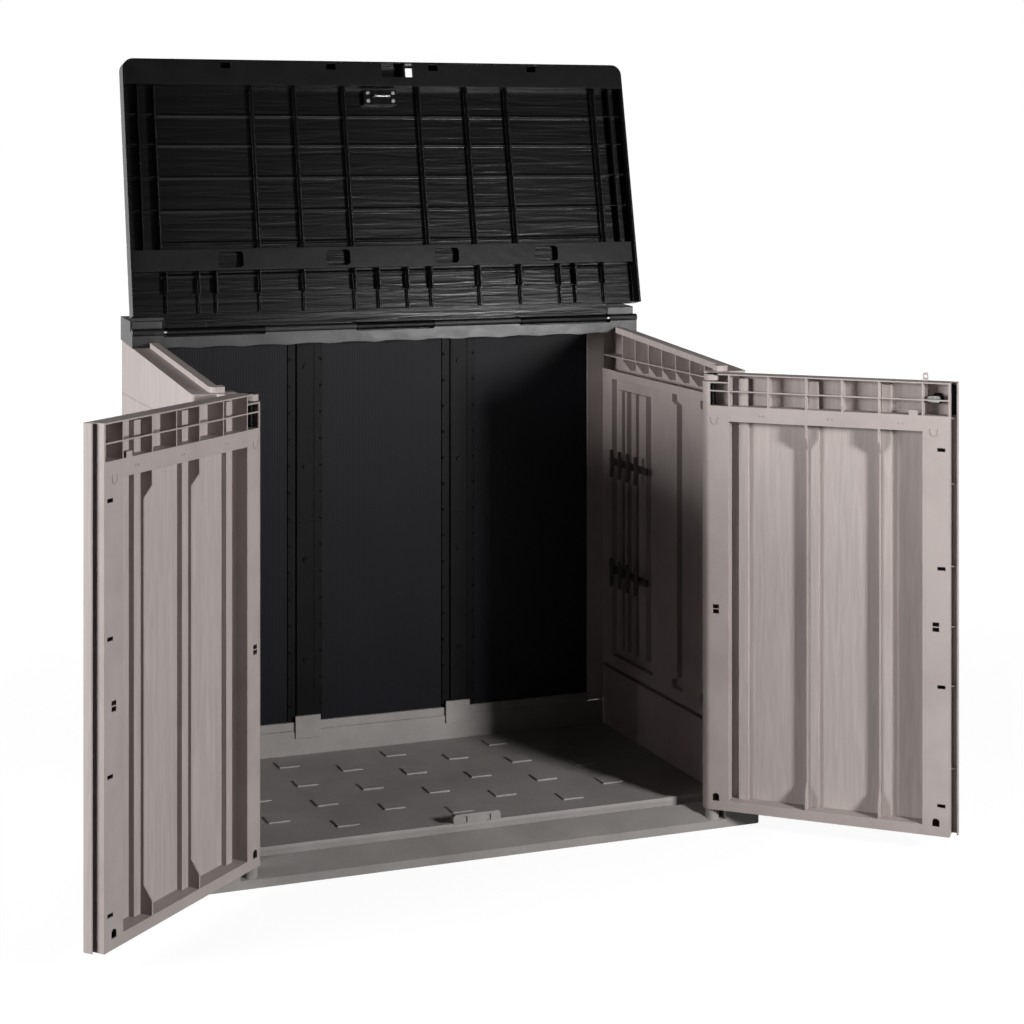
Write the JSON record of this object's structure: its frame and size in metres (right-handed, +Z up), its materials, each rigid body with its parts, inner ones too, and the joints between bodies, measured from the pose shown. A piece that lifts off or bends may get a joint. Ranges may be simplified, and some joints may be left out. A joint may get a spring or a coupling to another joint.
{
  "type": "storage shed",
  "caption": "Low resin storage shed with a lift-up ribbed lid, two planked front doors on pivot pins, sheet back wall held by posts, tread floor and wall tool racks.",
  "frame": {"origin": "centre of the base underside, on the ground", "axes": "+X to the right seen from the doors, +Y to the back wall, +Z up"},
  "size_m": [1.8838, 1.0997, 1.7209],
  "materials": {
    "taupe_resin": "fine matt grain, wood-grain moulding",
    "floor_resin": "matt grain",
    "gloss_black": "moulded gloss with wood-grain planks",
    "black_resin": "satin moulded",
    "sheet_black": "matt fluted sheet",
    "steel": "zinc plated",
    "black_steel": "black oxide"
  },
  "bodies": {
    "shed": {"floor_panel": "floor_resin", "back_sheet_left": "sheet_black", "back_sheet_middle": "sheet_black", "back_sheet_right": "sheet_black", "back_post_left_lower": "black_resin", "back_post_left_upper": "black_resin", "back_post_right_lower": "black_resin", "back_post_right_upper": "black_resin", "post_screws": "black_steel", "wall_left_shell": "taupe_resin", "wall_right_shell": "taupe_resin", "wall_left_panel": "taupe_resin", "wall_right_panel": "taupe_resin", "tool_rack_lower": "taupe_resin", "tool_rack_upper": "taupe_resin", "hinge_beam": "gloss_black", "beam_cap_left": "gloss_black", "beam_cap_right": "gloss_black", "lid_hinge_rod": "steel", "door_left_pins": "black_steel", "door_right_pins": "black_steel"},
    "lid": {"lid_shell": "gloss_black", "lid_front_rail": "gloss_black", "lid_rear_rail": "gloss_black", "hasp_plate": "black_steel", "hasp_bolts": "steel", "hasp_staple": "steel"},
    "door_left": {"door_left_skin": "taupe_resin", "door_left_frame": "taupe_resin"},
    "door_right": {"door_right_skin": "taupe_resin", "door_right_frame": "taupe_resin", "lock_tongue": "taupe_resin", "cam_lock_body": "black_resin", "edge_catch": "black_resin"},
    "lock_cam": {"cam_lock_cam": "steel"}
  },
  "joints": [
    {"name": "lid_hinge", "type": "hinge", "parent": "shed", "child": "lid", "pos_m": [0, 0.2513, 1.082], "axis": [1, 0, 0], "range_deg": [0, 104.7]},
    {"name": "door_left_hinge", "type": "hinge", "parent": "shed", "child": "door_left", "pos_m": [-0.532, -0.358, 0.5], "axis": [0, 0, 1], "range_deg": [0, 138.5]},
    {"name": "door_right_hinge", "type": "hinge", "parent": "shed", "child": "door_right", "pos_m": [0.532, -0.358, 0.5], "axis": [0, 0, 1], "range_deg": [-138.5, 0]},
    {"name": "cam_turn", "type": "hinge", "parent": "door_right", "child": "lock_cam", "pos_m": [0.89899, -0.68268, 0.973], "axis": [-0.6626, -0.749, 0], "range_deg": [-90, 0]}
  ]
}
